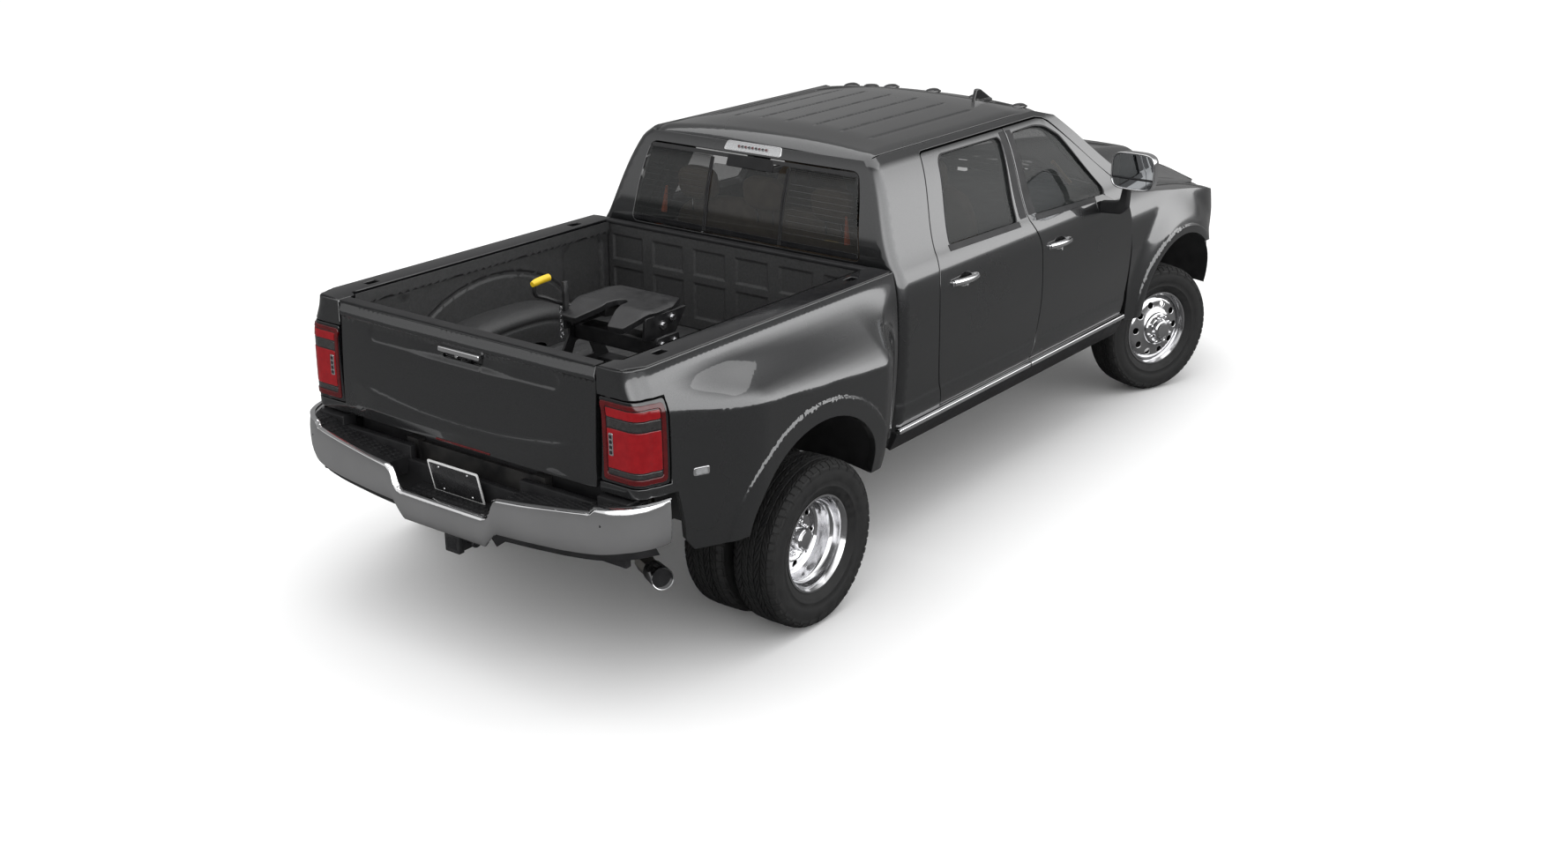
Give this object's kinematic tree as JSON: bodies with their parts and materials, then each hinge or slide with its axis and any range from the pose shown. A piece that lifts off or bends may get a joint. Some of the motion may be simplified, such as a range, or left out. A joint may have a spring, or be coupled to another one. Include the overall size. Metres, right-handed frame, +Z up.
{
  "type": "four-door pickup truck with twin rear wheels",
  "caption": "Long-cab heavy pickup with flared rear fenders, open load bed, trailer hitch in the bed, steered front wheels, swinging doors, hood and tailgate",
  "frame": {"origin": "on the ground under the middle of the truck", "axes": "+X forward, +Y to the driver's left, +Z up"},
  "size_m": [6.35, 2.66, 2.012],
  "materials": {
    "body_paint": "dark grey metallic paint under clear coat",
    "frame_steel": "satin black coated steel",
    "engine_iron": "cast iron",
    "exhaust_steel": "stainless pipe",
    "black_plastic": "black moulded plastic",
    "interior_plastic": "grained dark interior plastic",
    "seat_leather": "tan stitched leather",
    "window_glass": "tinted glass",
    "chrome_trim": "bright chrome",
    "wheel_metal": "polished wheel",
    "tyre_rubber": "black tyre rubber",
    "lamp_clear": "clear lens",
    "lamp_red": "red and smoked lens",
    "bed_liner": "sprayed textured liner",
    "hitch_black": "black powder coat"
  },
  "bodies": {
    "chassis": {"frame": "frame_steel", "front_axle": "frame_steel", "rear_axle": "frame_steel", "engine": "engine_iron", "driveline": "frame_steel", "exhaust": "exhaust_steel", "fuel_tank": "black_plastic", "spare_wheel": "tyre_rubber", "cab_floor": "black_plastic", "cab_shell": "body_paint", "roof": "body_paint", "windshield": "window_glass", "rear_window": "window_glass", "dashboard": "interior_plastic", "steering_wheel": "interior_plastic", "front_seat_left": "seat_leather", "front_seat_right": "seat_leather", "rear_bench": "seat_leather", "engine_bay": "black_plastic", "fender_left": "body_paint", "fender_right": "body_paint", "grille": "chrome_trim", "headlamp_left": "lamp_clear", "headlamp_right": "lamp_clear", "front_bumper": "chrome_trim", "bed_box": "bed_liner", "bed_side_left": "body_paint", "bed_side_right": "body_paint", "tail_lamp_left": "lamp_red", "tail_lamp_right": "lamp_red", "rear_bumper": "chrome_trim", "hitch_receiver": "hitch_black", "fifth_wheel_base": "hitch_black", "fifth_wheel_head": "hitch_black"},
    "front_door_left_body": {"front_door_left": "body_paint", "front_glass_left": "window_glass", "mirror_left": "chrome_trim"},
    "rear_door_left_body": {"rear_door_left": "body_paint", "rear_glass_left": "window_glass"},
    "steering_left": {"knuckle_left": "frame_steel"},
    "front_wheel_left": {"front_rim_left": "wheel_metal", "front_tyre_left": "tyre_rubber"},
    "rear_wheels_left": {"rear_rims_left": "wheel_metal", "rear_tyre_outer_left": "tyre_rubber", "rear_tyre_inner_left": "tyre_rubber"},
    "front_door_right_body": {"front_door_right": "body_paint", "front_glass_right": "window_glass", "mirror_right": "chrome_trim"},
    "rear_door_right_body": {"rear_door_right": "body_paint", "rear_glass_right": "window_glass"},
    "steering_right": {"knuckle_right": "frame_steel"},
    "front_wheel_right": {"front_rim_right": "wheel_metal", "front_tyre_right": "tyre_rubber"},
    "rear_wheels_right": {"rear_rims_right": "wheel_metal", "rear_tyre_outer_right": "tyre_rubber", "rear_tyre_inner_right": "tyre_rubber"},
    "hood_lid": {"hood": "body_paint"},
    "gate": {"tailgate": "body_paint"}
  },
  "joints": [
    {"name": "front_door_left_hinge", "type": "hinge", "parent": "chassis", "child": "front_door_left_body", "pos_m": [1.476, 1.011, 1], "axis": [0, 0, -1], "range_deg": [0, 67]},
    {"name": "rear_door_left_hinge", "type": "hinge", "parent": "chassis", "child": "rear_door_left_body", "pos_m": [0.395, 1.011, 1], "axis": [0, 0, -1], "range_deg": [0, 68]},
    {"name": "front_door_right_hinge", "type": "hinge", "parent": "chassis", "child": "front_door_right_body", "pos_m": [1.476, -1.011, 1], "axis": [0, 0, 1], "range_deg": [0, 67]},
    {"name": "rear_door_right_hinge", "type": "hinge", "parent": "chassis", "child": "rear_door_right_body", "pos_m": [0.395, -1.011, 1], "axis": [0, 0, 1], "range_deg": [0, 68]},
    {"name": "hood_hinge", "type": "hinge", "parent": "chassis", "child": "hood_lid", "pos_m": [1.5, 0, 1.386], "axis": [0, -1, 0], "range_deg": [0, 48]},
    {"name": "tailgate_hinge", "type": "hinge", "parent": "chassis", "child": "gate", "pos_m": [-2.945, 0, 0.94], "axis": [0, -1, 0], "range_deg": [0, 90]},
    {"name": "steer_left", "type": "hinge", "parent": "chassis", "child": "steering_left", "pos_m": [2.11, 0.7405, 0.402], "axis": [0, 0, 1], "range_deg": [-13.4, 56.6]},
    {"name": "steer_right", "type": "hinge", "parent": "chassis", "child": "steering_right", "pos_m": [2.11, -0.7405, 0.402], "axis": [0, 0, 1], "range_deg": [-13.4, 56.6]},
    {"name": "front_wheel_left_spin", "type": "hinge", "parent": "steering_left", "child": "front_wheel_left", "pos_m": [2.16522, 0.87997, 0.402], "axis": [0.3681, 0.9298, 0], "continuous": true},
    {"name": "rear_wheels_left_spin", "type": "hinge", "parent": "chassis", "child": "rear_wheels_left", "pos_m": [-1.967, 0.9655, 0.402], "axis": [0, 1, 0], "continuous": true},
    {"name": "front_wheel_right_spin", "type": "hinge", "parent": "steering_right", "child": "front_wheel_right", "pos_m": [2.05478, -0.87997, 0.402], "axis": [0.3681, 0.9298, 0], "continuous": true},
    {"name": "rear_wheels_right_spin", "type": "hinge", "parent": "chassis", "child": "rear_wheels_right", "pos_m": [-1.967, -0.9655, 0.402], "axis": [0, 1, 0], "continuous": true}
  ],
  "couplings": [
    {"joint": "steer_right", "follows": "steer_left", "ratio": 1}
  ]
}
